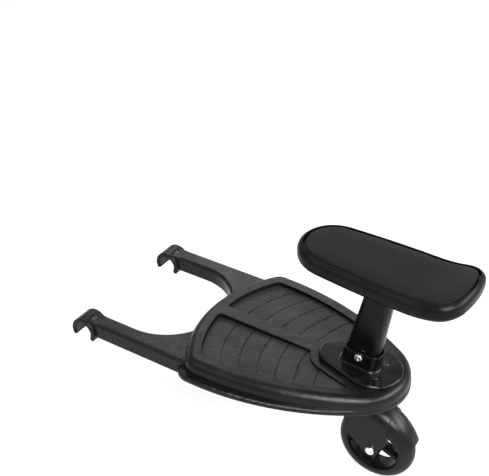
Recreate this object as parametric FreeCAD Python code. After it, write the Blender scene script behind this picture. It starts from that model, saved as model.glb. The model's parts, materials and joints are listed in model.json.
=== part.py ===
import FreeCAD, Part
import math
import os

os.makedirs("parts", exist_ok=True)
Vector = FreeCAD.Vector
up = Vector(0, 0, 1)
across = Vector(0, 1, 0)

# Sizes are in millimetres. x runs rearward from the axis of the hooks, y to the right, z up from the floor.

# Deck outline in plan: a shield with a broad front, convex sides and a round nose.
deck_front_x = 144.3
deck_length = 312.2
deck_front_r = 200.0
deck_nose_r = 75.0
deck_wide_at = 61.0
rim_half_width = 132.0
rim_corner_r = 24.0
rim_front_r = 265.0
rim_front_x = 142.3
rim_length = 315.2
rim_ledge = 8.0
body_corner_r = 22.0

# Deck heights. The border slopes gently down toward the nose, the rim and its ledge are level.
rim_bottom_z = 148.5
rim_top_z = 157.5
rim_edge_r = 2.5
border_front_z = 180.0
border_nose_z = 174.5
border_edge_r = 12.0
deck_wall = 5.0
deck_roof_z = 163.0

# Cover that closes the deck from below, and its screws, placed across as shares of the half width.
cover_thick = 3.0
cover_inset = 6.5
cover_z = 149.5
cover_boss_r = 6.0
cover_fit = 0.4
cover_screw_length = 10.0
cover_head_sink = 1.0
cover_head = 1.6
cover_screw_x = (170.0, 215.0, 290.0, 352.0)
cover_screw_share = (0.532, 0.903, 0.79, 0.613)
cover_rib_y = (-60.0, 0.0, 60.0)
cover_rib_start_x = 174.0
cover_rib_end_x = 330.0
cover_rib_thick = 3.0

# Tread recesses on both sides of the centre rib.
tread_front_gap = 19.7
tread_border = 22.0
tread_floor_z = 168.0
tread_thick = 4.8
tread_fit = 0.25
tread_corner_r = 4.0
rib_half_width = 10.0
rib_top_z = 178.5
rib_side_z = 172.0
rib_end_reach = 11.0
tread_line_r = 175.0
tread_line_pitch = 28.8
tread_line_first = 52.5
tread_line_count = 6
tread_line_width = 2.4
tread_line_depth = 1.6

# Arms.
arm_start_x = 23.0
arm_width = 25.5
arm_set_in = 17.5
arm_end_x = 200.0
arm_top_z = 165.0
arm_bottom_z = 142.0
arm_flare_x = 75.0
arm_flare_r = 82.0
arm_edge_r = 4.5
arm_wall = 4.0
arm_sink = 6.0
arm_under_rim = 3.0
arm_solid_end = 12.0

# Hooks on the arm ends.
hook_z = 145.0
tube_r = 12.5
liner_thick = 1.8
hook_thick = 6.5
hook_width = 33.0
hook_edge_r = 2.0
hook_rear_angle = -34.0
hook_tip_angle = 212.0
liner_width = 29.0
liner_margin = 8.0
neck_start_x = 8.0
neck_bottom_z = 142.0
neck_top_z = 164.0
neck_joint = 0.2
tongue_length = 26.0
tongue_height = 8.0
tongue_half_width = 10.0
hook_boss_x = 9.0
hook_boss_r = 7.0
hook_boss_z = 164.2
liner_screw_seat_z = 161.0
liner_screw_foot_z = 156.2
hook_screw_x = 37.0
hook_screw_seat_z = 147.7
hook_screw_foot_z = 156.5
screw_tip_gap = 0.3

# Seat base: wedge plate on the nose with an oval collar.
base_front_x = 327.0
base_length = 120.5
base_front_r = 26.0
base_rear_r = 40.0
base_front_z = 184.5
base_rear_z = 179.0
base_edge_r = 2.6
base_ring_gap = 11.0
base_screw_reach = 91.0
base_screw_y = 17.0
screw_r = 2.5
screw_head_r = 4.8
screw_head = 2.8
screw_head_round = 1.2
screw_fit = 0.05
screw_head_fit = 0.3
slot_half = 0.6
slot_deep = 1.0
head_room = 0.4
collar_wall = 2.8
collar_length = 32.0
collar_top_z = 207.5
collar_foot_r = 3.0
collar_corner_r = 12.0
collar_sink = 12.0
collar_screw_z = 201.0
collar_screw_r = 3.0
collar_screw_head_r = 5.6
collar_screw_head = 3.4
collar_screw_tip_gap = 0.4
collar_screw_stand = 0.6
collar_screw_round = 1.4
collar_drive_half = 3.2
collar_drive_deep = 1.2

# Seat post: a cone with a flat on each side, leaning rearward.
post_reach = 61.8
post_foot_z = 183.5
post_lean = 10.0
post_foot_r = 24.6
post_head_r = 18.8
post_foot_flat = 11.0
post_head_flat = 18.4
post_wall = 4.5
post_fit = 0.35
post_seat_drop = 15.0
post_overrun = 4.0
post_head_solid = 22.0
post_foot_gap = 0.6
post_foot_corner_r = 9.0
post_head_corner_r = 1.5

# Seat shell and pad, nose forward, tail raised.
seat_rear_x = 535.0
seat_length = 243.0
seat_nose_r = 51.0
seat_wide_at = 68.0
seat_half_width = 57.0
seat_rear_r = 150.0
seat_corner_r = 34.0
seat_top_z = 351.0
seat_depth = 25.0
seat_tilt_angle = 2.5
seat_tail_x = 462.0
seat_tail_r = 145.0
seat_low_r = 11.0
seat_rim_r = 9.5
pad_margin = 6.5
pad_depth = 8.0
pad_gap = 1.6
pad_rise = 0.6
pad_edge_r = 2.4
shell_floor = 4.0
shell_wall = 9.0
seat_boss_r = 31.0
seat_screw_ring = 12.0
seat_screw_length = 16.0
seat_screw_sink = 1.0
seat_room = 120.0
band_room = 40.0

# Caster: swivel stem through the nose, fork with a rear hood, wheel.
swivel_x = 390.0
stem_r = 6.0
stem_fit = 0.05
stem_foot_z = 121.5
stem_top_z = 176.5
stem_head_room = 1.0
stem_edge = 1.0
bushing_r = 9.0
bushing_flange_r = 13.0
bushing_flange = 2.0
bushing_length = 8.0
bushing_fit = 0.08
nose_boss_r = 24.0
stem_pocket_r = 15.0
stem_pocket_z = 166.0
stem_washer_r = 12.5
stem_washer = 1.6
stem_nut_flat = 18.0
stem_nut = 7.0
slip = 0.3
thrust_r = 20.0
thrust_thick = 1.8
trail = 33.0
wheel_r = 56.0
tyre_width = 30.0
tyre_inner_r = 39.5
tyre_round = 14.0
hub_rim = 2.6
hub_rim_width = 24.0
hub_boss_r = 12.5
hub_length = 31.0
hub_bore_gap = 1.0
hub_spokes = 5
hub_spoke = 5.0
hub_spoke_width = 16.0
hub_spoke_angle = 20.0
bearing_r = 8.5
bearing_length = 7.0
press_gap = 0.02
axle_r = 4.0
axle_fit = 0.05
spacer_r = 7.0
fork_gap = 17.5
fork_plate = 5.0
fork_crown_z = 124.0
fork_crown_rear = 22.0
fork_boss_r = 11.0
fork_boss_front_angle = 210.0
fork_boss_rear_angle = 15.0
fork_front_reach = 19.0
fork_knee_reach = 6.0
fork_knee_z = 71.0
fork_step_reach = 55.0
fork_step_z = 75.0
hood_r = 80.5
hood_reach = 16.0
hood_drop = 8.0
hood_lip_angle = 22.5
hood_room = 3.0
hood_round = 17.0
hood_room_round = 13.0
hood_step = 1.8
hood_back_step = 1.2
hood_skirt_r = 39.0
axle_head_r = 6.5
axle_head = 4.0
axle_nut_flat = 13.0
axle_nut = 6.5
axle_head_round = 1.8
axle_socket = 5.0
axle_socket_deep = 2.2
axle_tail = 2.0

wheel_x = swivel_x + trail
fork_front_x = swivel_x - fork_front_reach
fork_knee_x = swivel_x - fork_knee_reach
fork_step_x = swivel_x + fork_step_reach
hood_x = wheel_x - hood_reach
hood_z = wheel_r - hood_drop
crown_rear_x = swivel_x + fork_crown_rear
wheel_z = wheel_r
body_half_width = rim_half_width - rim_ledge
arm_outer_y = rim_half_width - arm_set_in
arm_inner_y = arm_outer_y - arm_width
arm_mid_y = (arm_inner_y + arm_outer_y) / 2.0
base_rear_x = base_front_x + base_length
rib_end_x = base_front_x + rib_end_reach
post_x = base_front_x + post_reach
lean = math.radians(post_lean)
post_axis = Vector(math.sin(lean), 0, math.cos(lean))
post_foot = Vector(post_x, 0, post_foot_z)
post_top_z = seat_top_z - post_seat_drop
post_length = (post_top_z - post_foot_z) / math.cos(lean) + post_overrun

# The frame's origin lies on the floor under the middle of the whole object.
origin_x = (seat_rear_x - tube_r - liner_thick - hook_thick) / 2.0


def write(name, shape):
    placed = shape.copy()
    placed.translate(Vector(-origin_x, 0, 0))
    placed.exportStep("parts/" + name + ".step")


def mirrored(shape):
    return shape.mirror(Vector(0, 0, 0), across)


def box(x0, x1, y0, y1, z0, z1):
    return Part.makeBox(x1 - x0, y1 - y0, z1 - z0, Vector(x0, y0, z0))


def post_tube(r, x, y, z0, z1):
    return Part.makeCylinder(r, z1 - z0, Vector(x, y, z0), up)


def axle_tube(r, x, z, y0, y1):
    return Part.makeCylinder(r, y1 - y0, Vector(x, y0, z), across)


def face_of(edges):
    return Part.Face(Part.Wire(Part.__sortEdges__(edges)))


def polygon_face(points):
    return Part.Face(Part.makePolygon(points + points[:1]))


def circle_meeting(c0, r0, c1, r1):
    gap = c1 - c0
    far = gap.Length
    along = (far * far + r0 * r0 - r1 * r1) / (2.0 * far)
    side = math.sqrt(r0 * r0 - along * along)
    unit = gap * (1.0 / far)
    return c0 + unit * along + Vector(-unit.y, unit.x, 0) * side


def toward(centre, point, r):
    way = point - centre
    return centre + way * (r / way.Length)


def arc_between(centre, r, first, last):
    middle = toward(centre, (first + last) * 0.5, r)
    return Part.Arc(first, middle, last).toShape()


# A shield in plan from tangent arcs: broad end, corners, sides and nose, drawn in by inset.
# Way is 1 where the nose points rearward and -1 where it points forward.
def shield_face(end_x, way, length, wide_at, half_width, nose_r, end_r, corner_r, inset):
    reach = length - nose_r - wide_at
    side_r = (half_width ** 2 + reach ** 2 - nose_r ** 2) / (2.0 * (half_width - nose_r))
    nose = Vector(length - nose_r, 0, 0)
    end = Vector(end_r, 0, 0)
    side = Vector(wide_at, half_width - side_r, 0)
    corner = circle_meeting(side, side_r - corner_r, end, end_r - corner_r)
    end_point = toward(end, corner, end_r - inset)
    corner_point = toward(side, corner, side_r - inset)
    nose_point = toward(side, nose, side_r - inset)
    half = [
        arc_between(corner, corner_r - inset, end_point, corner_point),
        arc_between(side, side_r - inset, corner_point, nose_point),
    ]
    other = [mirrored(edge) for edge in half]
    low_end = Vector(end_point.x, -end_point.y, 0)
    low_nose = Vector(nose_point.x, -nose_point.y, 0)
    front = Part.Arc(low_end, Vector(inset, 0, 0), end_point).toShape()
    tip = Part.Arc(nose_point, Vector(length - inset, 0, 0), low_nose).toShape()
    face = face_of(half + other + [front, tip])
    if way < 0:
        face = face.mirror(Vector(0, 0, 0), Vector(1, 0, 0))
    face.translate(Vector(end_x, 0, 0))
    return face


def rim_face(inset):
    return shield_face(rim_front_x, 1, rim_length, deck_wide_at, rim_half_width, deck_nose_r, rim_front_r,
                       rim_corner_r, inset)


def body_face(inset):
    return shield_face(deck_front_x, 1, deck_length, deck_wide_at, body_half_width, deck_nose_r, deck_front_r,
                       body_corner_r, inset)


def seat_face(inset):
    return shield_face(seat_rear_x, -1, seat_length, seat_wide_at, seat_half_width, seat_nose_r, seat_rear_r,
                       seat_corner_r, inset)


def raised(face, z0, z1):
    moved = face.copy()
    moved.translate(Vector(0, 0, z0))
    return moved.extrude(Vector(0, 0, z1 - z0))


def border_z(x):
    share = (x - deck_front_x) / deck_length
    return border_front_z + share * (border_nose_z - border_front_z)


def under_border(extra):
    x0 = deck_front_x - 30.0
    x1 = deck_front_x + deck_length + 30.0
    low = 0.0
    side = polygon_face([
        Vector(x0, -200, low),
        Vector(x1, -200, low),
        Vector(x1, -200, border_z(x1) + extra),
        Vector(x0, -200, border_z(x0) + extra),
    ])
    return side.extrude(Vector(0, 400, 0))


def edges_at_top(shape, height, slack):
    found = []
    for edge in shape.Edges:
        middle = edge.valueAt((edge.FirstParameter + edge.LastParameter) / 2.0)
        if abs(middle.z - height(middle.x)) < slack:
            found.append(edge)
    return found


def arm_plan(inset):
    flare = Vector(arm_flare_x, arm_inner_y - arm_flare_r, 0)
    front = Vector(deck_front_x + deck_front_r, 0, 0)
    cusp = circle_meeting(flare, arm_flare_r + inset, front, deck_front_r - arm_sink)
    start = Vector(arm_start_x, arm_inner_y + inset, 0)
    bend = Vector(arm_flare_x, arm_inner_y + inset, 0)
    points = [
        cusp,
        Vector(arm_end_x, cusp.y, 0),
        Vector(arm_end_x, arm_outer_y - inset, 0),
        Vector(arm_start_x, arm_outer_y - inset, 0),
        start,
        bend,
    ]
    lines = [Part.makeLine(points[i], points[i + 1]) for i in range(len(points) - 1)]
    return face_of(lines + [arc_between(flare, arm_flare_r + inset, bend, cusp)])


def arm_body():
    arm = raised(arm_plan(0.0), arm_bottom_z, arm_top_z)
    edges = []
    for edge in arm.Edges:
        box_of = edge.BoundBox
        level = box_of.ZLength < 0.01 and abs(box_of.ZMax - arm_top_z) < 0.01
        flank = box_of.XMax < arm_end_x - 1.0 or box_of.YMin > arm_outer_y - 1.0
        if level and flank and box_of.XLength > 1.0:
            edges.append(edge)
    arm = arm.makeFillet(arm_edge_r, edges)
    return arm.cut(raised(rim_face(arm_under_rim), 0.0, rim_bottom_z))


def arm_channel():
    channel = raised(arm_plan(arm_wall), arm_bottom_z - 1.0, arm_top_z - arm_wall)
    length = box(arm_start_x + tongue_length + arm_solid_end, 300, 0, 200, 0, 200)
    return channel.common(length).cut(raised(rim_face(-arm_wall), 0.0, 300.0))


def tongue_box(gap):
    middle = (arm_bottom_z + arm_top_z) / 2.0
    x1 = arm_start_x + tongue_length + gap
    half = tongue_half_width + gap
    low = middle - tongue_height / 2.0 - gap
    high = middle + tongue_height / 2.0 + gap
    return box(arm_start_x - 1.0, x1, arm_mid_y - half, arm_mid_y + half, low, high)


def tread_plan(inset):
    corner_r = tread_border + tread_corner_r * 2.0
    front = shield_face(deck_front_x, 1, deck_length, deck_wide_at, body_half_width, deck_nose_r,
                        deck_front_r, corner_r, tread_border + inset)
    cut = Part.makeCylinder(tread_line_r - inset, 10.0,
                            Vector(deck_front_x + tread_front_gap + tread_line_r, 0, -5.0), up)
    zone = front.common(cut)
    half = Part.makePlane(400, 200, Vector(deck_front_x, rib_half_width + inset, 0))
    zone = zone.common(half)
    around = base_plan(base_ring_gap + inset)
    zone = zone.cut(around)
    best = zone.Faces[0]
    for face in zone.Faces:
        if face.Area > best.Area:
            best = face
    return best


def base_plan(grow):
    front = Vector(base_front_x + base_front_r, 0, 0)
    rear = Vector(base_rear_x - base_rear_r, 0, 0)
    gap = rear.x - front.x
    turn = math.asin((base_rear_r - base_front_r) / gap)
    normal = Vector(-math.sin(turn), math.cos(turn), 0)
    front_high = front + normal * (base_front_r + grow)
    rear_high = rear + normal * (base_rear_r + grow)
    front_low = Vector(front_high.x, -front_high.y, 0)
    rear_low = Vector(rear_high.x, -rear_high.y, 0)
    return face_of([
        Part.makeLine(front_high, rear_high),
        Part.Arc(rear_high, Vector(base_rear_x + grow, 0, 0), rear_low).toShape(),
        Part.makeLine(rear_low, front_low),
        Part.Arc(front_low, Vector(base_front_x - grow, 0, 0), front_high).toShape(),
    ])


def tread_pocket():
    pocket = raised(tread_plan(0.0), tread_floor_z, border_front_z + 20.0)
    upright = [edge for edge in pocket.Edges if edge.BoundBox.ZLength > 5.0]
    return pocket.makeFillet(tread_corner_r, upright)


def rib_body():
    half = rib_half_width
    z0 = tread_floor_z - 2.0
    x0 = deck_front_x + tread_front_gap - 6.0
    low_left = Vector(x0, -half, z0)
    low_right = Vector(x0, half, z0)
    high_left = Vector(x0, -half, rib_side_z)
    high_right = Vector(x0, half, rib_side_z)
    face = face_of([
        Part.makeLine(low_left, low_right),
        Part.makeLine(low_right, high_right),
        Part.Arc(high_right, Vector(x0, 0, rib_top_z), high_left).toShape(),
        Part.makeLine(high_left, low_left),
    ])
    return face.extrude(Vector(rib_end_x - x0, 0, 0))


def cover_screw_places():
    places = []
    for x, share in zip(cover_screw_x, cover_screw_share):
        places.append((x, share * body_half_width))
        places.append((x, -share * body_half_width))
    return places


def deck():
    rim = raised(rim_face(0.0), rim_bottom_z, rim_top_z)
    rim_edges = [edge for edge in rim.Edges if edge.BoundBox.ZLength < 0.01]
    rim = rim.makeFillet(rim_edge_r, rim_edges)
    body = raised(body_face(0.0), rim_bottom_z + 4.0, border_front_z + 30.0).common(under_border(0.0))
    body = body.makeFillet(border_edge_r, edges_at_top(body, border_z, 0.05))
    arm = arm_body()
    whole = body.fuse([rim, arm, mirrored(arm)])
    hollow = raised(body_face(deck_wall), rim_bottom_z - 1.0, deck_roof_z)
    hollow = hollow.cut(post_tube(nose_boss_r, swivel_x, 0, 0, 300))
    for x, y in cover_screw_places():
        hollow = hollow.cut(post_tube(cover_boss_r, x, y, cover_z + cover_thick, 300))
    whole = whole.cut(hollow)
    for room in (tread_pocket(), arm_channel(), tongue_box(neck_joint)):
        whole = whole.cut([room, mirrored(room)])
    rib = rib_body().common(under_border(-0.4))
    whole = whole.fuse(rib)
    holes = [
        post_tube(bushing_r, swivel_x, 0, 0, 300),
        post_tube(bushing_flange_r, swivel_x, 0, 0, rim_bottom_z + bushing_flange),
        post_tube(stem_pocket_r, swivel_x, 0, stem_pocket_z, 300),
        post_tube(bushing_flange_r, swivel_x, 0, stem_pocket_z - bushing_flange, 300),
    ]
    for x, y in cover_screw_places():
        holes.append(post_tube(screw_r, x, y, 0, deck_roof_z - 1.0))
    for x, y in base_screw_places():
        holes.append(post_tube(screw_r, x, y, deck_roof_z + 2.0, 300))
    for y in (arm_mid_y, -arm_mid_y):
        holes.append(post_tube(screw_r, hook_screw_x, y, 0, hook_screw_foot_z + screw_tip_gap))
        holes.append(post_tube(screw_head_r + screw_head_fit, hook_screw_x, y, 0, hook_screw_seat_z))
    return whole.cut(holes).removeSplitter()


def tread_panel():
    panel = raised(tread_plan(tread_fit), tread_floor_z, tread_floor_z + tread_thick)
    upright = [edge for edge in panel.Edges if edge.BoundBox.ZLength > tread_thick - 0.1]
    panel = panel.makeFillet(tread_corner_r - tread_fit, upright)
    grooves = []
    z0 = tread_floor_z + tread_thick - tread_line_depth
    for i in range(tread_line_count):
        centre = Vector(deck_front_x + tread_line_first + i * tread_line_pitch + tread_line_r, 0, z0)
        outer = Part.makeCylinder(tread_line_r + tread_line_width / 2.0, 10.0, centre, up)
        inner = Part.makeCylinder(tread_line_r - tread_line_width / 2.0, 10.0, centre, up)
        ring = outer.cut(inner)
        grooves.append(ring.common(box(0, centre.x - 40.0, 0, 200, 0, 300)))
    return panel.cut(grooves)


def bottom_cover():
    plate = raised(body_face(cover_inset), cover_z, cover_z + cover_thick)
    plate = plate.cut(post_tube(nose_boss_r + cover_fit, swivel_x, 0, 0, 300))
    for x, y in cover_screw_places():
        plate = plate.cut(post_tube(screw_r + screw_fit, x, y, 0, 300))
        plate = plate.cut(post_tube(screw_head_r + screw_head_fit, x, y, 0, cover_z + cover_head_sink))
    half = cover_rib_thick / 2.0
    top = cover_z + cover_thick
    for y in cover_rib_y:
        rib = box(cover_rib_start_x, cover_rib_end_x, y - half, y + half, top, deck_roof_z - 1.0)
        plate = plate.fuse(rib)
    return plate.removeSplitter()


# A round-headed cross screw. Way is 1 with the head on top, -1 with the head below; the head seats at z.
def pan_screw(x, y, z, way, length):
    shank = Part.makeCylinder(screw_r - screw_fit, length, Vector(x, y, z), Vector(0, 0, -way))
    head = Part.makeCylinder(screw_head_r, screw_head, Vector(x, y, z), Vector(0, 0, way))
    crown_z = z + way * screw_head
    rim = [edge for edge in head.Edges if abs(edge.CenterOfMass.z - crown_z) < 0.01]
    head = head.makeFillet(screw_head_round, rim)
    reach = screw_head_r * 0.6
    slot = box(x - reach, x + reach, y - slot_half, y + slot_half, crown_z - slot_deep, crown_z + slot_deep)
    cross = box(x - slot_half, x + slot_half, y - reach, y + reach, crown_z - slot_deep, crown_z + slot_deep)
    return shank.fuse(head).cut([slot, cross]).removeSplitter()


def cover_screws():
    screws = []
    for x, y in cover_screw_places():
        z = cover_z + cover_head_sink
        shank = Part.makeCylinder(screw_r - screw_fit, cover_screw_length, Vector(x, y, z), up)
        head = Part.makeCylinder(screw_head_r, cover_head, Vector(x, y, z - cover_head), up)
        slot = box(x - 3.0, x + 3.0, y - slot_half, y + slot_half, 0, z - cover_head + slot_deep)
        screws.append(shank.fuse(head).cut(slot).removeSplitter())
    return Part.makeCompound(screws)


def hook_point(r, angle):
    turn = math.radians(angle)
    return Vector(r * math.cos(turn), 0, hook_z + r * math.sin(turn))


def sector(r0, r1, a0, a1, y0, y1):
    middle = (a0 + a1) / 2.0
    outer = Part.Arc(hook_point(r1, a0), hook_point(r1, middle), hook_point(r1, a1)).toShape()
    inner = Part.Arc(hook_point(r0, a0), hook_point(r0, middle), hook_point(r0, a1)).toShape()
    face = face_of([
        outer,
        Part.makeLine(hook_point(r1, a1), hook_point(r0, a1)),
        inner,
        Part.makeLine(hook_point(r0, a0), hook_point(r1, a0)),
    ])
    face.translate(Vector(0, y0, 0))
    return face.extrude(Vector(0, y1 - y0, 0))


def hook():
    y0 = arm_mid_y - hook_width / 2.0
    y1 = arm_mid_y + hook_width / 2.0
    inner_r = tube_r + liner_thick
    outer_r = inner_r + hook_thick
    jaw = sector(inner_r, outer_r, hook_rear_angle, hook_tip_angle, y0, y1)
    rims = []
    for edge in jaw.Edges:
        middle = edge.valueAt((edge.FirstParameter + edge.LastParameter) / 2.0)
        if abs(math.hypot(middle.x, middle.z - hook_z) - outer_r) < 0.1:
            rims.append(edge)
    jaw = jaw.makeFillet(hook_edge_r, rims)
    neck = box(neck_start_x, arm_start_x - neck_joint, arm_inner_y, arm_outer_y, neck_bottom_z, neck_top_z)
    corners = [edge for edge in neck.Edges if edge.BoundBox.XLength > 5.0]
    neck = neck.makeFillet(hook_edge_r, corners)
    boss = post_tube(hook_boss_r, hook_boss_x, arm_mid_y, hook_z, hook_boss_z)
    tongue = tongue_box(0.0)
    body = jaw.fuse([neck, boss, tongue])
    body = body.cut([
        axle_tube(inner_r, 0, hook_z, y0 - 1.0, y1 + 1.0),
        post_tube(screw_r, hook_screw_x, arm_mid_y, 0, hook_screw_foot_z + screw_tip_gap),
        post_tube(screw_r, hook_boss_x, arm_mid_y, hook_z, 300),
        post_tube(screw_head_r + screw_head_fit, hook_boss_x, arm_mid_y, liner_screw_seat_z, 300),
    ])
    return body.removeSplitter()


def hook_liner():
    y0 = arm_mid_y - liner_width / 2.0
    y1 = arm_mid_y + liner_width / 2.0
    first = hook_rear_angle + liner_margin
    last = hook_tip_angle - liner_margin
    strip = sector(tube_r, tube_r + liner_thick, first, last, y0, y1)
    return strip.cut(post_tube(screw_r, hook_boss_x, arm_mid_y, liner_screw_foot_z - screw_tip_gap, 300))


def both_sides(screw):
    return Part.makeCompound([screw, mirrored(screw)])


def hook_screws():
    length = hook_screw_foot_z - hook_screw_seat_z
    return both_sides(pan_screw(hook_screw_x, arm_mid_y, hook_screw_seat_z, -1, length))


def liner_screws():
    length = liner_screw_seat_z - liner_screw_foot_z
    return both_sides(pan_screw(hook_boss_x, arm_mid_y, liner_screw_seat_z, 1, length))


def base_screw_places():
    x = base_front_x + base_screw_reach
    return [(x, base_screw_y), (x, -base_screw_y)]


def base_top(x):
    share = (x - base_front_x) / (base_rear_x - base_front_x)
    return base_front_z + share * (base_rear_z - base_front_z)


# The post between two heights along its axis: a cone with a flat on each side, grown by fit.
def post_solid(fit, start, end, head_r):
    slope = (head_r - post_foot_r) / post_length
    r0 = post_foot_r + slope * start + fit
    r1 = post_foot_r + slope * end + fit
    if abs(slope) < 1e-9:
        body = Part.makeCylinder(r0, end - start, Vector(0, 0, start), up)
    else:
        body = Part.makeCone(r0, r1, end - start, Vector(0, 0, start), up)
    y0 = post_flat(start) + fit
    y1 = post_flat(end) + fit
    face = polygon_face([
        Vector(-100, -y0, start),
        Vector(-100, y0, start),
        Vector(-100, y1, end),
        Vector(-100, -y1, end),
    ])
    return body.common(face.extrude(Vector(200, 0, 0)))


def post_flat(along):
    return post_foot_flat + (post_head_flat - post_foot_flat) * along / post_length


def leaned(shape):
    shape.rotate(Vector(0, 0, 0), across, post_lean)
    shape.translate(post_foot)
    return shape


# The four edges between the round ends and the flats, before the post leans.
def long_edges(shape, start, end):
    found = []
    for edge in shape.Edges:
        middle = edge.valueAt((edge.FirstParameter + edge.LastParameter) / 2.0)
        if edge.BoundBox.ZLength > 0.9 * (end - start) and abs(middle.y) > 1.0:
            found.append(edge)
    return found


# Two of the four edges run upward and the other two are their mirror images.
def rising(edge):
    return edge.valueAt(edge.FirstParameter).z < edge.valueAt(edge.LastParameter).z


# The post's room in the collar, straight along the axis so that the post can be drawn out.
def post_socket():
    body = post_solid(post_fit, 0.0, collar_length, post_foot_r)
    return leaned(body.makeFillet(post_foot_corner_r * 0.8, long_edges(body, 0.0, collar_length)))


def collar_body():
    body = post_solid(collar_wall, -collar_sink, collar_length, post_foot_r)
    body = body.makeFillet(collar_corner_r, long_edges(body, -collar_sink, collar_length))
    return leaned(body).common(under(collar_top_z))


def collar_screw_point():
    along = (collar_screw_z - post_foot_z) / math.cos(lean)
    return post_foot + post_axis * along


def seat_base():
    under = raised(base_plan(0.0), border_nose_z - 10.0, base_front_z + 20.0)
    low = under_border(0.0)
    x0 = base_front_x - 30.0
    x1 = base_rear_x + 30.0
    wedge = polygon_face([
        Vector(x0, -100, 100),
        Vector(x1, -100, 100),
        Vector(x1, -100, base_top(x1)),
        Vector(x0, -100, base_top(x0)),
    ]).extrude(Vector(0, 200, 0))
    plate = under.common(wedge).cut(low)
    plate = plate.makeFillet(base_edge_r, edges_at_top(plate, base_top, 0.05))
    body = plate.fuse(collar_body().cut(low)).removeSplitter()
    foot = []
    for edge in body.Edges:
        middle = edge.valueAt((edge.FirstParameter + edge.LastParameter) / 2.0)
        near = math.hypot(middle.x - post_x, middle.y) < post_foot_r + collar_wall + 3.0
        if near and abs(middle.z - base_top(middle.x)) < 0.05:
            foot.append(edge)
    body = body.makeFillet(collar_foot_r, foot)
    body = body.cut(post_socket())
    body = body.cut(post_tube(stem_pocket_r, swivel_x, 0, 0, stem_top_z + stem_head_room))
    for x, y in base_screw_places():
        top = base_top(x)
        body = body.cut(post_tube(screw_r + screw_fit, x, y, 0, 300))
        body = body.cut(post_tube(screw_head_r + screw_head_fit, x, y, top - screw_head - head_room, 300))
    point = collar_screw_point()
    body = body.cut(axle_tube(collar_screw_r, point.x, point.z, -60.0, 0.0))
    return body.removeSplitter()


def base_screws():
    screws = []
    for x, y in base_screw_places():
        seat = base_top(x) - screw_head - head_room
        screws.append(pan_screw(x, y, seat, 1, seat - deck_roof_z - 3.0))
    return Part.makeCompound(screws)


def collar_screw():
    point = collar_screw_point()
    face_y = post_flat((point - post_foot).Length)
    tip = face_y + collar_screw_tip_gap
    seat = face_y + collar_wall + collar_screw_stand
    crown = seat + collar_screw_head
    shank = axle_tube(collar_screw_r - screw_fit, point.x, point.z, -seat, -tip)
    head = axle_tube(collar_screw_head_r, point.x, point.z, -crown, -seat)
    rim = [edge for edge in head.Edges if edge.BoundBox.YMax < -crown + 0.01]
    head = head.makeFillet(collar_screw_round, rim)
    y0 = -crown - 1.0
    y1 = -crown + collar_drive_deep
    slot = box(point.x - collar_drive_half, point.x + collar_drive_half, y0, y1,
               point.z - slot_half, point.z + slot_half)
    cross = box(point.x - slot_half, point.x + slot_half, y0, y1,
                point.z - collar_drive_half, point.z + collar_drive_half)
    return shank.fuse(head).cut([slot, cross]).removeSplitter()


def under(z):
    return box(0, 2.0 * seat_rear_x, -rim_half_width, rim_half_width, 0, z)


def seat_post():
    body = post_solid(0.0, post_foot_gap, post_length, post_head_r)
    upward = [edge for edge in long_edges(body, post_foot_gap, post_length) if rising(edge)]
    body = body.makeFillet(post_foot_corner_r, post_head_corner_r, upward)
    body = body.common(mirrored(body))
    body = leaned(body).common(under(post_top_z))
    core = leaned(post_solid(-post_wall, -5.0, post_length, post_head_r))
    body = body.cut(core.common(under(post_top_z - post_head_solid)))
    for x, y in seat_screw_places():
        foot = seat_screw_z() - seat_screw_length - screw_tip_gap
        body = body.cut(post_tube(screw_r, x, y, foot, seat_top_z))
    return body.removeSplitter()


def post_head_x():
    return post_x + (post_top_z - post_foot_z) * math.tan(lean)


def seat_screw_z():
    return seat_top_z - pad_depth - screw_head - seat_screw_sink


def seat_screw_places():
    places = []
    for i in range(3):
        turn = math.radians(120.0 * i)
        places.append((post_head_x() + seat_screw_ring * math.cos(turn), seat_screw_ring * math.sin(turn)))
    return places


# Everything in side view between the seat's top line lowered by high and by low: flat, then the raised tail.
def seat_band(high, low):
    x0 = seat_rear_x - seat_length - 20.0
    x1 = seat_rear_x + 20.0
    centre_z = seat_top_z + seat_tail_r
    turn = math.asin((x1 - seat_tail_x) / seat_tail_r)

    def tail_point(drop, share):
        r = seat_tail_r + drop
        return Vector(seat_tail_x + r * math.sin(turn * share), -200, centre_z - r * math.cos(turn * share))

    edges = [
        Part.makeLine(Vector(x0, -200, seat_top_z - high), tail_point(high, 0.0)),
        Part.Arc(tail_point(high, 0.0), tail_point(high, 0.5), tail_point(high, 1.0)).toShape(),
        Part.makeLine(tail_point(high, 1.0), tail_point(low, 1.0)),
        Part.Arc(tail_point(low, 1.0), tail_point(low, 0.5), tail_point(low, 0.0)).toShape(),
        Part.makeLine(tail_point(low, 0.0), Vector(x0, -200, seat_top_z - low)),
        Part.makeLine(Vector(x0, -200, seat_top_z - low), Vector(x0, -200, seat_top_z - high)),
    ]
    band = face_of(edges).extrude(Vector(0, 400, 0))
    band.rotate(seat_pivot(), across, seat_tilt_angle)
    return band


def seat_pivot():
    return Vector(post_head_x(), 0, seat_top_z)


def untilted(point):
    turn = math.radians(-seat_tilt_angle)
    way = point - seat_pivot()
    return seat_pivot() + Vector(way.x * math.cos(turn) + way.z * math.sin(turn), way.y,
                                 way.z * math.cos(turn) - way.x * math.sin(turn))


def ring_edges(shape, drop):
    found = []
    for edge in shape.Edges:
        middle = untilted(edge.valueAt((edge.FirstParameter + edge.LastParameter) / 2.0))
        reach = seat_tail_r + drop
        height = seat_top_z - drop
        if middle.x > seat_tail_x:
            height = seat_top_z + seat_tail_r - math.sqrt(reach ** 2 - (middle.x - seat_tail_x) ** 2)
        crossing = edge.BoundBox.XLength < 0.5 and abs(middle.y) < 1.0
        if abs(middle.z - height) < 0.05 and not crossing:
            found.append(edge)
    return found


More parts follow.
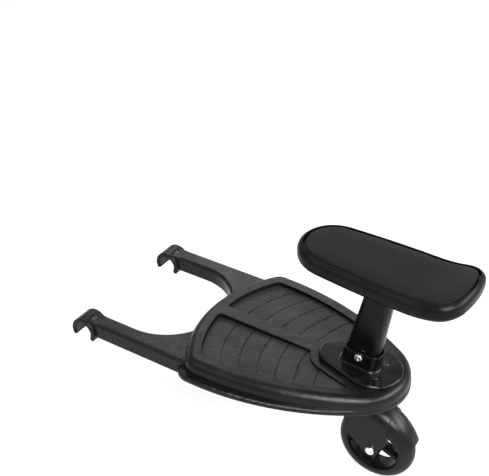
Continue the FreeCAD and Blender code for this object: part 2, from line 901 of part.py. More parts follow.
def seat_block(inset):
    return raised(seat_face(inset), seat_top_z - seat_room, seat_top_z + seat_room)


def seat_shell():
    body = seat_block(0.0).common(seat_band(0.0, seat_depth))
    body = body.makeFillet(seat_low_r, ring_edges(body, seat_depth))
    body = body.makeFillet(seat_rim_r, ring_edges(body, 0.0))
    recess = seat_block(pad_margin).common(seat_band(-band_room, pad_depth))
    roof = pad_depth + shell_floor
    hollow = seat_block(shell_wall).common(seat_band(roof, seat_depth + band_room))
    low = seat_top_z - seat_room
    high = seat_top_z + seat_room
    hollow = hollow.cut(post_tube(seat_boss_r, post_head_x(), 0, low, high))
    body = body.cut([recess, hollow])
    head = leaned(post_solid(post_fit, post_length / 2.0, post_length, post_head_r))
    body = body.cut(head.common(under(post_top_z)))
    for x, y in seat_screw_places():
        body = body.cut(post_tube(screw_r + screw_fit, x, y, low, high))
        body = body.cut(post_tube(screw_head_r + screw_head_fit, x, y, seat_screw_z(), high))
    return body.removeSplitter()


def seat_pad():
    body = seat_block(pad_margin + pad_gap).common(seat_band(-pad_rise, pad_depth))
    return body.makeFillet(pad_edge_r, ring_edges(body, -pad_rise))


def seat_screws():
    screws = []
    for x, y in seat_screw_places():
        screws.append(pan_screw(x, y, seat_screw_z(), 1, seat_screw_length))
    return Part.makeCompound(screws)


# A flanged bushing with its flange at the outer end: below for way 1, on top for way -1.
def bushing(z, way):
    place = Vector(swivel_x, 0, z)
    body = Part.makeCylinder(bushing_r - bushing_fit, bushing_length, place, up * way)
    flange = Part.makeCylinder(bushing_flange_r - bushing_fit, bushing_flange, place, up * way)
    return body.fuse(flange).cut(post_tube(stem_r + stem_fit, swivel_x, 0, 0, 300)).removeSplitter()


def stem_bushings():
    return Part.makeCompound([bushing(rim_bottom_z, 1), bushing(stem_pocket_z, -1)])


def caster_stem():
    stem = post_tube(stem_r, swivel_x, 0, stem_foot_z, stem_top_z)
    rim = [edge for edge in stem.Edges if edge.BoundBox.ZMin > stem_top_z - 0.01]
    return stem.makeChamfer(stem_edge, rim)


def washer(r, bore, z0, thick):
    return post_tube(r, swivel_x, 0, z0, z0 + thick).cut(post_tube(bore, swivel_x, 0, 0, 300))


def stem_washer_part():
    return washer(stem_washer_r, stem_r + press_gap, stem_pocket_z + slip, stem_washer)


def hexagon(flat, centre, axis_y):
    r = flat / math.sqrt(3.0)
    points = []
    for i in range(6):
        turn = math.radians(60.0 * i + 30.0)
        if axis_y:
            points.append(centre + Vector(r * math.cos(turn), 0, r * math.sin(turn)))
        else:
            points.append(centre + Vector(r * math.cos(turn), r * math.sin(turn), 0))
    return polygon_face(points)


def stem_nut_part():
    z0 = stem_pocket_z + slip + stem_washer
    nut = hexagon(stem_nut_flat, Vector(swivel_x, 0, z0), False).extrude(Vector(0, 0, stem_nut))
    return nut.cut(post_tube(stem_r + press_gap, swivel_x, 0, 0, 300))


def crown_top_z():
    return rim_bottom_z - slip - thrust_thick


def thrust_washer():
    return washer(thrust_r, stem_r + press_gap, crown_top_z(), thrust_thick)


def wheel_point(r, angle, y):
    turn = math.radians(angle)
    return Vector(wheel_x + r * math.cos(turn), y, wheel_z + r * math.sin(turn))


def fork_outer_y():
    return fork_gap + fork_plate


# A point on the arc of the hood's back, whose centre lies a little ahead of the axle.
def hood_point(r, angle, y):
    turn = math.radians(angle)
    return Vector(hood_x + r * math.cos(turn), y, hood_z + r * math.sin(turn))


# A drum round the axle with rounded rims.
def drum(r, half, round_r):
    body = axle_tube(r, wheel_x, wheel_z, -half, half)
    rims = [edge for edge in body.Edges if edge.BoundBox.YLength < 0.01]
    return body.makeFillet(round_r, rims)


# Side view of the fork: crown, round back down to the lip, axle boss and front edge.
def fork_outline(r, y0):
    crown_angle = math.degrees(math.acos((crown_rear_x - hood_x) / r))
    low = hood_point(r, hood_lip_angle, y0)
    mid = hood_point(r, (hood_lip_angle + crown_angle) / 2.0, y0)
    high = hood_point(r, crown_angle, y0)
    points = [
        high,
        Vector(crown_rear_x, y0, crown_top_z()),
        Vector(fork_front_x, y0, crown_top_z()),
        Vector(fork_knee_x, y0, fork_knee_z),
        wheel_point(fork_boss_r, fork_boss_front_angle, y0),
        wheel_point(0.0, 0.0, y0),
        low,
    ]
    edges = [Part.makeLine(points[i], points[i + 1]) for i in range(len(points) - 1)]
    return face_of(edges + [Part.Arc(low, mid, high).toShape()])


# The outline at full width, with both shoulders of its back rounded.
def fork_block(r, half, round_r):
    block = fork_outline(r, -half).extrude(Vector(0, 2.0 * half, 0))
    shoulders = []
    for edge in block.Edges:
        middle = edge.valueAt((edge.FirstParameter + edge.LastParameter) / 2.0)
        far = math.hypot(middle.x - hood_x, middle.z - hood_z)
        if abs(far - r) < 0.05 and abs(abs(middle.y) - half) < 0.01:
            shoulders.append(edge)
    return block.makeFillet(round_r, shoulders)


# Everything behind the upright rear edge of the side plates, and below its slope down to the axle boss.
def behind_plates():
    y0 = -fork_outer_y() - 1.0
    x1 = wheel_x + 2.0 * hood_r
    return polygon_face([
        Vector(fork_step_x, y0, rim_bottom_z),
        Vector(x1, y0, rim_bottom_z),
        Vector(x1, y0, 0),
        Vector(wheel_x, y0, 0),
        Vector(wheel_x, y0, wheel_z),
        wheel_point(fork_boss_r, fork_boss_rear_angle, y0),
        Vector(fork_step_x, y0, fork_step_z),
    ]).extrude(Vector(0, -2.0 * y0, 0))


# Flat side plates and crown, with a mudguard behind them that is set in and open over the hub.
def caster_fork():
    outer = fork_outer_y()
    plates = fork_block(hood_r, outer, hood_round + hood_step).cut(behind_plates())
    guard = fork_block(hood_r - hood_back_step, outer - hood_step, hood_round)
    guard = guard.cut(axle_tube(hood_skirt_r, wheel_x, wheel_z, -outer, outer))
    boss = axle_tube(fork_boss_r, wheel_x, wheel_z, -outer, outer)
    body = plates.fuse([guard, boss])
    body = body.cut([
        drum(wheel_r + hood_room, fork_gap, hood_room_round),
        box(fork_front_x - 1.0, wheel_x, -fork_gap, fork_gap, 0, fork_crown_z),
        axle_tube(fork_boss_r + 1.0, wheel_x, wheel_z, -fork_gap, fork_gap),
        axle_tube(axle_r + axle_fit, wheel_x, wheel_z, -outer - 1.0, outer + 1.0),
        post_tube(stem_r, swivel_x, 0, stem_foot_z, crown_top_z() + 1.0),
    ])
    return body.removeSplitter()


def tyre():
    half = tyre_width / 2.0
    ring = drum(wheel_r, half, tyre_round)
    return ring.cut(axle_tube(tyre_inner_r, wheel_x, wheel_z, -half - 1.0, half + 1.0))


def wheel_hub():
    half = hub_rim_width / 2.0
    rim = axle_tube(tyre_inner_r, wheel_x, wheel_z, -half, half)
    rim = rim.cut(axle_tube(tyre_inner_r - hub_rim, wheel_x, wheel_z, -half - 1.0, half + 1.0))
    boss = axle_tube(hub_boss_r, wheel_x, wheel_z, -hub_length / 2.0, hub_length / 2.0)
    parts = [boss]
    start = wheel_x + hub_boss_r - 2.0
    reach = wheel_x + tyre_inner_r - hub_rim + 1.0
    wide = hub_spoke_width / 2.0
    thick = hub_spoke / 2.0
    for i in range(hub_spokes):
        spoke = box(start, reach, -wide, wide, wheel_z - thick, wheel_z + thick)
        spoke.rotate(Vector(wheel_x, 0, wheel_z), across, 360.0 * i / hub_spokes + hub_spoke_angle)
        parts.append(spoke)
    body = rim.fuse(parts).removeSplitter()
    body = body.cut(axle_tube(axle_r + hub_bore_gap, wheel_x, wheel_z, -100, 100))
    for way in (-1, 1):
        edge_y = way * hub_length / 2.0
        low = min(edge_y, edge_y - way * bearing_length)
        body = body.cut(axle_tube(bearing_r, wheel_x, wheel_z, low, low + bearing_length))
    return body.removeSplitter()


def wheel_bearings():
    rings = []
    for way in (-1, 1):
        edge_y = way * hub_length / 2.0
        low = min(edge_y, edge_y - way * bearing_length)
        ring = axle_tube(bearing_r - press_gap, wheel_x, wheel_z, low, low + bearing_length)
        rings.append(ring.cut(axle_tube(axle_r + axle_fit, wheel_x, wheel_z, -100, 100)))
    return Part.makeCompound(rings)


def axle_spacers():
    rings = []
    inner = hub_length / 2.0 + slip
    for way in (-1, 1):
        low = min(way * inner, way * fork_gap)
        ring = axle_tube(spacer_r, wheel_x, wheel_z, low, low + fork_gap - inner)
        rings.append(ring.cut(axle_tube(axle_r + axle_fit, wheel_x, wheel_z, -100, 100)))
    return Part.makeCompound(rings)


def axle_bolt():
    outer = fork_gap + fork_plate
    shank = axle_tube(axle_r, wheel_x, wheel_z, -outer, outer + axle_nut + axle_tail)
    head = axle_tube(axle_head_r, wheel_x, wheel_z, -outer - axle_head, -outer)
    rim = [edge for edge in head.Edges if edge.BoundBox.YMax < -outer - axle_head + 0.01]
    head = head.makeFillet(axle_head_round, rim)
    mouth = Vector(wheel_x, -outer - axle_head - 1.0, wheel_z)
    socket = hexagon(axle_socket, mouth, True).extrude(Vector(0, axle_socket_deep + 1.0, 0))
    return shank.fuse(head).cut(socket).removeSplitter()


def axle_nut_part():
    outer = fork_gap + fork_plate
    nut = hexagon(axle_nut_flat, Vector(wheel_x, outer, wheel_z), True).extrude(Vector(0, axle_nut, 0))
    return nut.cut(axle_tube(axle_r + press_gap, wheel_x, wheel_z, -100, 100))


write("deck", deck())
panel = tread_panel()
write("right_tread_panel", panel)
write("left_tread_panel", mirrored(panel))
write("bottom_cover", bottom_cover())
write("cover_screws", cover_screws())
right_hook = hook()
write("right_hook", right_hook)
write("left_hook", mirrored(right_hook))
right_liner = hook_liner()
write("right_hook_liner", right_liner)
write("left_hook_liner", mirrored(right_liner))
write("hook_screws", hook_screws())
write("liner_screws", liner_screws())
write("seat_base", seat_base())
write("seat_base_screws", base_screws())
write("collar_screw", collar_screw())
write("seat_post", seat_post())
write("seat_shell", seat_shell())
write("seat_pad", seat_pad())
write("seat_screws", seat_screws())
write("stem_bushings", stem_bushings())
write("caster_stem", caster_stem())
write("stem_washer", stem_washer_part())
write("stem_nut", stem_nut_part())
write("thrust_washer", thrust_washer())
write("caster_fork", caster_fork())
write("tyre", tyre())
write("wheel_hub", wheel_hub())
write("wheel_bearings", wheel_bearings())
write("axle_spacers", axle_spacers())
write("axle_bolt", axle_bolt())
write("axle_nut", axle_nut_part())
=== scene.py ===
import json
import math

import bmesh
import bpy
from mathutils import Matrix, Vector


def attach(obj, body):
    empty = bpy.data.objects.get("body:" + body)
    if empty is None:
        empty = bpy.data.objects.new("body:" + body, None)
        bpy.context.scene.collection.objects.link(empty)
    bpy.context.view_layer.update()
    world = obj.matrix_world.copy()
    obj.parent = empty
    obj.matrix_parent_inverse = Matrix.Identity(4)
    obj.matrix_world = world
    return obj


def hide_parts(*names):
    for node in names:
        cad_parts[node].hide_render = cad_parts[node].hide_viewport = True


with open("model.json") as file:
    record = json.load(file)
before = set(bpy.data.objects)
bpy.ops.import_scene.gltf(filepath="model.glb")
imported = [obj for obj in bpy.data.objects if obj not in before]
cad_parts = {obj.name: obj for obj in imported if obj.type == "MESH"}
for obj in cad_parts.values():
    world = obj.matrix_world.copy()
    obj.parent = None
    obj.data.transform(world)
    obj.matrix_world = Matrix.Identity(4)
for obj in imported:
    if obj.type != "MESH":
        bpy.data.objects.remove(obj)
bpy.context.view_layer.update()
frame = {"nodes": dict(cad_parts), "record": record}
nodes = frame["nodes"]

# Viewpoint of the photograph, in metres, degrees and pixels.
IMAGE_WIDTH = 489
FOCAL_PIXELS = 1050.0
SENSOR_MM = 36.0
CAMERA_PLACE = (0.5939, -1.0026, 1.0863)
CAMERA_DOWN = 32.9
CAMERA_TURN = 32.9

# Seat cushion, with lengths in metres. A slope is the upright part of a surface's normal.
CUSHION_MERGE = 0.000002
CUSHION_VOXEL = 0.0025
CUSHION_FRAMES = 20
CUSHION_PRESSURE = 4.0
CUSHION_RISE = 0.0016
CUSHION_INSET = 0.002
CUSHION_FREE_SLOPE = 0.6
CUSHION_TOP_SLOPE = 0.85
CUSHION_SIDE_SLOPE = 0.35
CUSHION_SMOOTHINGS = 6

# Tones of the finishes. The plastic and rubber rubs are so many times the finish's light tone.
COOL_TINT = 1.03
DUST_GREY = 0.16
PLASTIC_RUB = 2.2
RUBBER_RUB = 1.9
TREAD_DARK = 0.0035
TREAD_LIGHT = 0.016
TREAD_RUB = 0.06
COVER_DARK = 0.0022
COVER_LIGHT = 0.004
COVER_RUB = 0.025

# Floor and sky.
WHITE = (1.0, 1.0, 1.0, 1.0)
FLOOR_HALF_WIDTH = 30.0
FLOOR_DARK = (0.24, 0.24, 0.24, 1.0)
FLOOR_LIGHT = (0.26, 0.26, 0.26, 1.0)
FLOOR_GLOW = 0.66
HORIZON_UP = 0.08
HIGH_SKY_UP = 0.5
HORIZON_STRENGTH = 0.9
HIGH_SKY_STRENGTH = 0.22

# Soft lights: name, place, aim, width and height in metres, and watts.
LIGHTS = (
    ("key", (1.9, 0.85, 1.5), (0.1, 0.0, 0.12), 2.0, 0.9, 90.0),
    ("side", (1.3, -1.5, 1.65), (0.25, 0.0, 0.15), 1.2, 0.8, 90.0),
    ("spark", (1.9, -0.45, 1.35), (0.13, 0.0, 0.15), 0.5, 0.3, 14.0),
    ("edge", (0.75, -1.15, 2.1), (0.15, 0.0, 0.15), 0.9, 0.5, 42.0),
    ("back", (-0.95, 1.55, 1.3), (0.05, 0.1, 0.17), 1.2, 0.6, 9.0),
    ("front", (-1.3, -1.6, 1.9), (0.0, 0.0, 0.15), 1.3, 0.5, 8.0),
    ("top", (-0.3, 0.4, 3.2), (-0.3, 0.4, 0.0), 5.5, 5.5, 55.0),
)


def new_finish(name, roughness, specular):
    finish = bpy.data.materials.new(name)
    finish.use_nodes = True
    tree = finish.node_tree
    tree.nodes.clear()
    shader = tree.nodes.new("ShaderNodeBsdfPrincipled")
    output = tree.nodes.new("ShaderNodeOutputMaterial")
    shader.inputs["Roughness"].default_value = roughness
    shader.inputs["Specular IOR Level"].default_value = specular
    tree.links.new(shader.outputs["BSDF"], output.inputs["Surface"])
    return finish, tree, shader


# Object coordinates, turned by degrees about Z, with the pattern squeezed along Y.
def place_on(tree, turn=0.0, squeeze=1.0):
    place = tree.nodes.new("ShaderNodeTexCoord")
    mapping = tree.nodes.new("ShaderNodeMapping")
    mapping.inputs["Rotation"].default_value = (0.0, 0.0, math.radians(turn))
    mapping.inputs["Scale"].default_value = (1.0, squeeze, 1.0)
    tree.links.new(place.outputs["Object"], mapping.inputs["Vector"])
    return mapping.outputs["Vector"]


def speckle(tree, place, scale, detail=2.0, roughness=0.5):
    noise = tree.nodes.new("ShaderNodeTexNoise")
    noise.inputs["Scale"].default_value = scale
    noise.inputs["Detail"].default_value = detail
    noise.inputs["Roughness"].default_value = roughness
    tree.links.new(place, noise.inputs["Vector"])
    return noise.outputs["Fac"]


def cells(tree, place, scale):
    voronoi = tree.nodes.new("ShaderNodeTexVoronoi")
    voronoi.inputs["Scale"].default_value = scale
    tree.links.new(place, voronoi.inputs["Vector"])
    return voronoi.outputs["Distance"]


# A value between low and high becomes one between to_low and to_high.
def span(tree, value, low, high, to_low=0.0, to_high=1.0):
    node = tree.nodes.new("ShaderNodeMapRange")
    node.inputs["From Min"].default_value = low
    node.inputs["From Max"].default_value = high
    node.inputs["To Min"].default_value = to_low
    node.inputs["To Max"].default_value = to_high
    tree.links.new(value, node.inputs["Value"])
    return node.outputs["Result"]


def combine(tree, kind, first, second):
    node = tree.nodes.new("ShaderNodeMath")
    node.operation = kind
    for socket, value in zip(node.inputs, (first, second)):
        if isinstance(value, float):
            socket.default_value = value
        else:
            tree.links.new(value, socket)
    return node.outputs["Value"]


# Two values added up, each given with its share.
def blended(tree, first, second):
    shares = [combine(tree, "MULTIPLY", value, share) for value, share in (first, second)]
    return combine(tree, "ADD", *shares)


# How far a surface faces up, from nought to one.
def facing_up(tree):
    place = tree.nodes.new("ShaderNodeTexCoord")
    parts = tree.nodes.new("ShaderNodeSeparateXYZ")
    tree.links.new(place.outputs["Normal"], parts.inputs["Vector"])
    return span(tree, parts.outputs["Z"], low=0.55, high=0.98)


def grey(value):
    return (value, value, value * COOL_TINT, 1.0)


# Two tones mixed by a value from nought to one.
def two_tone(tree, value, dark, light):
    mix = tree.nodes.new("ShaderNodeMix")
    mix.data_type = "RGBA"
    mix.inputs["A"].default_value = dark
    mix.inputs["B"].default_value = light
    tree.links.new(value, mix.inputs["Factor"])
    return mix.outputs["Result"]


# A tone laid over a colour by a value from nought to one.
def over(tree, value, under_colour, top_colour):
    mix = tree.nodes.new("ShaderNodeMix")
    mix.data_type = "RGBA"
    mix.inputs["B"].default_value = top_colour
    tree.links.new(under_colour, mix.inputs["A"])
    tree.links.new(value, mix.inputs["Factor"])
    return mix.outputs["Result"]


# Heights from coarse to fine, each with its depth in metres, over softly rounded edges.
def relief(tree, shader, heights, edge_r):
    rounded = tree.nodes.new("ShaderNodeBevel")
    rounded.inputs["Radius"].default_value = edge_r
    rounded.samples = 4
    normal = rounded.outputs["Normal"]
    for height, depth in heights:
        bump = tree.nodes.new("ShaderNodeBump")
        bump.inputs["Strength"].default_value = 1.0
        bump.inputs["Distance"].default_value = depth
        tree.links.new(height, bump.inputs["Height"])
        tree.links.new(normal, bump.inputs["Normal"])
        normal = bump.outputs["Normal"]
    tree.links.new(normal, shader.inputs["Normal"])


# Fine straight rubs, only where a broad patch lets them show.
def rubs(tree, turn, scale):
    along = place_on(tree, turn=turn, squeeze=26.0)
    lines = speckle(tree, along, scale, detail=3.0, roughness=0.6)
    patch = speckle(tree, place_on(tree), scale=22.0)
    thin = span(tree, lines, low=0.6, high=0.74)
    shown = span(tree, patch, low=0.48, high=0.66)
    return combine(tree, "MULTIPLY", thin, shown)


# Rubs laid over a colour in a grey tone, in the given strength.
def rubbed(tree, worn, colour, tone, strength):
    return over(tree, span(tree, worn, low=0.0, high=1.0, to_high=strength), colour, grey(tone))


# Moulded plastic: fine spark-eroded grain, slow waviness, light rubs and a little dust on top.
def moulded(name, dark, light, roughness, specular, grain, dust, wave, edge_r=0.0009):
    finish, tree, shader = new_finish(name, roughness, specular)
    place = place_on(tree)
    broad = speckle(tree, place, scale=26.0, detail=4.0, roughness=0.55)
    fine = speckle(tree, place, scale=1500.0, roughness=0.6)
    colour = two_tone(tree, span(tree, broad, low=0.3, high=0.7), grey(dark), grey(light))
    worn = rubs(tree, turn=24.0, scale=60.0)
    colour = rubbed(tree, worn, colour, tone=light * PLASTIC_RUB, strength=0.35)
    specks = speckle(tree, place, scale=90.0, detail=5.0, roughness=0.65)
    settled = span(tree, specks, low=0.42, high=0.75, to_high=dust)
    film = combine(tree, "MULTIPLY", facing_up(tree), settled)
    colour = over(tree, film, colour, grey(DUST_GREY))
    tree.links.new(colour, shader.inputs["Base Color"])
    uneven = span(tree, broad, low=0.3, high=0.7, to_low=roughness - 0.05, to_high=roughness + 0.05)
    scuffed = span(tree, worn, low=0.0, high=1.0, to_high=0.12)
    rough = combine(tree, "ADD", uneven, scuffed)
    tree.links.new(rough, shader.inputs["Roughness"])
    relief(tree, shader, [(speckle(tree, place, scale=70.0), wave), (fine, grain)], edge_r)
    return finish


# Tread mat: matt and finely grained, with faint uneven lozenges and rubbed patches.
def tread_finish():
    finish, tree, shader = new_finish("tread_mat", roughness=0.56, specular=0.26)
    place = place_on(tree)
    broad = speckle(tree, place, scale=30.0, detail=4.0, roughness=0.6)
    uneven = speckle(tree, place_on(tree, turn=28.0, squeeze=2.2), scale=110.0)
    crossed = speckle(tree, place_on(tree, turn=-28.0, squeeze=2.2), scale=110.0)
    lozenges = combine(tree, "MULTIPLY", uneven, crossed)
    fine = speckle(tree, place, scale=1100.0, roughness=0.6)
    tone = blended(tree, (lozenges, 0.8), (broad, 0.6))
    colour = two_tone(tree, span(tree, tone, low=0.3, high=0.7), grey(TREAD_DARK), grey(TREAD_LIGHT))
    worn = rubs(tree, turn=-35.0, scale=70.0)
    colour = rubbed(tree, worn, colour, tone=TREAD_RUB, strength=0.25)
    tree.links.new(colour, shader.inputs["Base Color"])
    rough = span(tree, tone, low=0.3, high=0.7, to_low=0.6, to_high=0.5)
    tree.links.new(rough, shader.inputs["Roughness"])
    relief(tree, shader, [(lozenges, 0.0019), (fine, 0.00006)], edge_r=0.0006)
    return finish


# Soft rubber: matt, with a slight mottled bloom.
def rubber(name, dark, light, roughness, specular):
    finish, tree, shader = new_finish(name, roughness, specular)
    place = place_on(tree)
    broad = speckle(tree, place, scale=45.0, detail=5.0, roughness=0.6)
    fine = speckle(tree, place, scale=1600.0, detail=3.0, roughness=0.65)
    colour = two_tone(tree, span(tree, broad, low=0.32, high=0.68), grey(dark), grey(light))
    worn = rubs(tree, turn=70.0, scale=80.0)
    colour = rubbed(tree, worn, colour, tone=light * RUBBER_RUB, strength=0.4)
    tree.links.new(colour, shader.inputs["Base Color"])
    rough = span(tree, broad, low=0.32, high=0.68, to_low=roughness - 0.06, to_high=roughness + 0.06)
    tree.links.new(rough, shader.inputs["Roughness"])
    relief(tree, shader, [(speckle(tree, place, scale=120.0), 0.0004), (fine, 0.00008)], edge_r=0.0006)
    return finish


# Padded cover: tight pebbled skin over foam.
def cover_finish():
    finish, tree, shader = new_finish("seat_cover", roughness=0.62, specular=0.08)
    place = place_on(tree)
    broad = speckle(tree, place, scale=18.0, detail=4.0, roughness=0.6)
    pebble = cells(tree, place, scale=900.0)
    fine = speckle(tree, place, scale=2200.0, roughness=0.6)
    tone = blended(tree, (broad, 0.7), (pebble, 0.3))
    colour = two_tone(tree, span(tree, tone, low=0.3, high=0.75), grey(COVER_DARK), grey(COVER_LIGHT))
    worn = rubs(tree, turn=10.0, scale=50.0)
    colour = rubbed(tree, worn, colour, tone=COVER_RUB, strength=0.18)
    tree.links.new(colour, shader.inputs["Base Color"])
    rough = span(tree, tone, low=0.3, high=0.75, to_low=0.6, to_high=0.72)
    tree.links.new(rough, shader.inputs["Roughness"])
    shader.inputs["Sheen Weight"].default_value = 0.02
    relief(tree, shader, [(pebble, 0.00012), (fine, 0.00003)], edge_r=0.0006)
    return finish


# Plated steel: fine lines and small dull spots.
def plated(name, dark, light, roughness):
    finish, tree, shader = new_finish(name, roughness, specular=0.5)
    shader.inputs["Metallic"].default_value = 1.0
    spots = speckle(tree, place_on(tree), scale=420.0, detail=4.0, roughness=0.6)
    fine = speckle(tree, place_on(tree, turn=15.0, squeeze=9.0), scale=900.0)
    colour = two_tone(tree, span(tree, spots, low=0.35, high=0.7), light, dark)
    tree.links.new(colour, shader.inputs["Base Color"])
    rough = span(tree, spots, low=0.35, high=0.7, to_low=roughness - 0.06, to_high=roughness + 0.14)
    tree.links.new(rough, shader.inputs["Roughness"])
    relief(tree, shader, [(fine, 0.00003)], edge_r=0.0003)
    return finish


finishes = {
    "deck_plastic": moulded("deck_plastic", dark=0.0016, light=0.003, roughness=0.33, specular=0.17,
                            grain=0.00006, dust=0.025, wave=0.0006, edge_r=0.0016),
    "tread_mat": tread_finish(),
    "hook_plastic": moulded("hook_plastic", dark=0.0016, light=0.003, roughness=0.32, specular=0.15,
                            grain=0.00007, dust=0.03, wave=0.0008, edge_r=0.0014),
    "liner_rubber": rubber("liner_rubber", dark=0.02, light=0.03, roughness=0.72, specular=0.3),
    "gloss_black": moulded("gloss_black", dark=0.0015, light=0.0025, roughness=0.15, specular=0.22,
                           grain=0.00001, dust=0.015, wave=0.0001, edge_r=0.0022),
    "post_satin": moulded("post_satin", dark=0.0012, light=0.002, roughness=0.22, specular=0.1,
                          grain=0.00001, dust=0.015, wave=0.0001, edge_r=0.0022),
    "fork_satin": moulded("fork_satin", dark=0.002, light=0.0035, roughness=0.33, specular=0.17,
                          grain=0.00004, dust=0.02, wave=0.0003, edge_r=0.0014),
    "shell_plastic": moulded("shell_plastic", dark=0.0015, light=0.003, roughness=0.34, specular=0.09,
                             grain=0.00005, dust=0.02, wave=0.0004),
    "hub_plastic": moulded("hub_plastic", dark=0.0015, light=0.0025, roughness=0.36, specular=0.1,
                           grain=0.00003, dust=0.02, wave=0.0003),
    "tyre_rubber": rubber("tyre_rubber", dark=0.003, light=0.005, roughness=0.46, specular=0.16),
    "bush_plastic": moulded("bush_plastic", dark=0.09, light=0.14, roughness=0.45, specular=0.45,
                            grain=0.00003, dust=0.05, wave=0.0003),
    "zinc_steel": plated("zinc_steel", dark=(0.5, 0.5, 0.51, 1.0), light=(0.78, 0.78, 0.79, 1.0),
                         roughness=0.24),
    "dark_steel": plated("dark_steel", dark=(0.03, 0.03, 0.032, 1.0), light=(0.07, 0.07, 0.074, 1.0),
                         roughness=0.36),
    "dull_steel": plated("dull_steel", dark=(0.05, 0.05, 0.052, 1.0), light=(0.12, 0.12, 0.124, 1.0),
                         roughness=0.42),
    "seat_foam": cover_finish(),
}

# The fork and the post have a softer sheen than the seat base, and the screws in the hooks are dull.
own_finish = {"caster_fork": "fork_satin", "seat_post": "post_satin", "liner_screws": "dull_steel"}

for part in frame["record"]["subparts"]:
    slots = nodes[part["node"]].data.materials
    slots.clear()
    slots.append(finishes[own_finish.get(part["node"], part["material_slot"])])


# The piece's mesh as its modifiers leave it.
def shown_copy(piece):
    graph = bpy.context.evaluated_depsgraph_get()
    return bpy.data.meshes.new_from_object(piece.evaluated_get(graph))


# The underside and the sides are held; the top fills, by no more than the given rise.
def swell(piece):
    held = piece.vertex_groups.new(name="held")
    top = [vertex.normal.z > CUSHION_FREE_SLOPE for vertex in piece.data.vertices]
    held.add([i for i, up in enumerate(top) if not up], 1.0, "REPLACE")
    before = [vertex.co.copy() for vertex in piece.data.vertices]
    cloth = piece.modifiers.new("fill", "CLOTH")
    cloth.settings.vertex_group_mass = "held"
    cloth.settings.use_pressure = True
    cloth.settings.uniform_pressure_force = CUSHION_PRESSURE
    cloth.settings.effector_weights.gravity = 0.0
    scene = bpy.context.scene
    for step in range(1, CUSHION_FRAMES + 1):
        scene.frame_set(step)
    filled = shown_copy(piece)
    piece.modifiers.clear()
    for vertex, start in zip(filled.vertices, before):
        way = vertex.co - start
        if way.length > CUSHION_RISE:
            vertex.co = start + way * (CUSHION_RISE / way.length)
    piece.data = filled
    scene.frame_set(1)


# Points on the sides move straight inwards, and those on the top and underside stay.
def draw_in(form):
    normals = [vertex.normal.copy() for vertex in form.verts]
    for vertex, normal in zip(form.verts, normals):
        steep = (CUSHION_TOP_SLOPE - abs(normal.z)) / (CUSHION_TOP_SLOPE - CUSHION_SIDE_SLOPE)
        if steep > 0.0:
            outward = Vector((normal.x, normal.y, 0.0)).normalized()
            vertex.co -= outward * CUSHION_INSET * min(steep, 1.0)


# The cushion starts as the pad's own form, is remeshed finely and swells on top under a soft pressure.
# Its sides are drawn in, so that a dark groove shows all round it.
def seat_cushion():
    mesh = nodes["seat_pad"].data.copy()
    form = bmesh.new()
    form.from_mesh(mesh)
    bmesh.ops.remove_doubles(form, verts=form.verts, dist=CUSHION_MERGE)
    form.to_mesh(mesh)
    form.free()
    piece = bpy.data.objects.new("seat_cushion", mesh)
    bpy.context.scene.collection.objects.link(piece)
    remesh = piece.modifiers.new("remesh", "REMESH")
    remesh.mode = "VOXEL"
    remesh.voxel_size = CUSHION_VOXEL
    fine = shown_copy(piece)
    piece.modifiers.clear()
    piece.data = fine
    swell(piece)
    form = bmesh.new()
    form.from_mesh(piece.data)
    form.normal_update()
    draw_in(form)
    for _ in range(CUSHION_SMOOTHINGS):
        bmesh.ops.smooth_vert(form, verts=form.verts, factor=0.5,
                              use_axis_x=True, use_axis_y=True, use_axis_z=True)
    for face in form.faces:
        face.smooth = True
    form.to_mesh(piece.data)
    form.free()
    soften = piece.modifiers.new("soften", "SUBSURF")
    soften.levels = 1
    soften.render_levels = 1
    piece.data.materials.clear()
    piece.data.materials.append(finishes["seat_foam"])
    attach(piece, "seat")
    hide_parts("seat_pad")


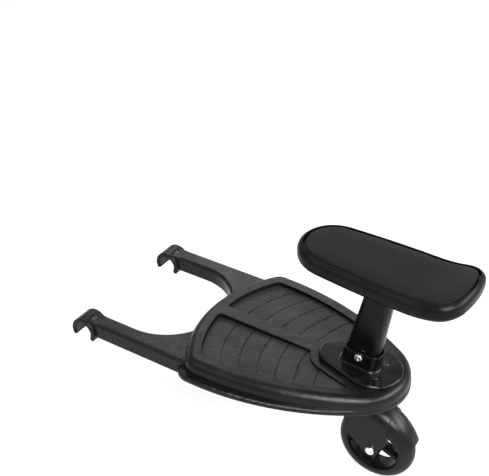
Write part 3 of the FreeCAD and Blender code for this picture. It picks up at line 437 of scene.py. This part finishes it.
# Pale floor like a light table, wide enough to fill every view.
def floor():
    form = bmesh.new()
    bmesh.ops.create_grid(form, x_segments=1, y_segments=1, size=FLOOR_HALF_WIDTH)
    mesh = bpy.data.meshes.new("floor")
    form.to_mesh(mesh)
    form.free()
    piece = bpy.data.objects.new("floor", mesh)
    bpy.context.scene.collection.objects.link(piece)
    finish, tree, shader = new_finish("floor", roughness=0.75, specular=0.2)
    tone = speckle(tree, place_on(tree), scale=3.0, detail=3.0)
    tree.links.new(two_tone(tree, tone, FLOOR_DARK, FLOOR_LIGHT), shader.inputs["Base Color"])
    shader.inputs["Emission Color"].default_value = WHITE
    shader.inputs["Emission Strength"].default_value = FLOOR_GLOW
    mesh.materials.append(finish)


def soft_light(name, place, aim, width, height, power):
    data = bpy.data.lights.new(name, "AREA")
    data.shape = "RECTANGLE"
    data.size = width
    data.size_y = height
    data.energy = power
    light = bpy.data.objects.new(name, data)
    light.location = place
    light.rotation_euler = (Vector(aim) - Vector(place)).to_track_quat("-Z", "Y").to_euler()
    bpy.context.scene.collection.objects.link(light)


# The sky is palest at the horizon and dims upwards.
def studio():
    scene = bpy.context.scene
    world = bpy.data.worlds.new("studio")
    scene.world = world
    world.use_nodes = True
    tree = world.node_tree
    sky = tree.nodes["Background"]
    sky.inputs["Color"].default_value = WHITE
    way = tree.nodes.new("ShaderNodeTexCoord")
    parts = tree.nodes.new("ShaderNodeSeparateXYZ")
    tree.links.new(way.outputs["Generated"], parts.inputs["Vector"])
    strength = span(tree, parts.outputs["Z"], HORIZON_UP, HIGH_SKY_UP, HORIZON_STRENGTH, HIGH_SKY_STRENGTH)
    tree.links.new(strength, sky.inputs["Strength"])
    for light in LIGHTS:
        soft_light(*light)
    scene.view_settings.view_transform = "Standard"


def camera():
    data = bpy.data.cameras.new("camera")
    data.sensor_fit = "HORIZONTAL"
    data.sensor_width = SENSOR_MM
    data.lens = FOCAL_PIXELS * SENSOR_MM / IMAGE_WIDTH
    eye = bpy.data.objects.new("camera", data)
    eye.location = CAMERA_PLACE
    eye.rotation_euler = (math.radians(90.0 - CAMERA_DOWN), 0.0, math.radians(CAMERA_TURN))
    bpy.context.scene.collection.objects.link(eye)
    bpy.context.scene.camera = eye


seat_cushion()
floor()
studio()
camera()
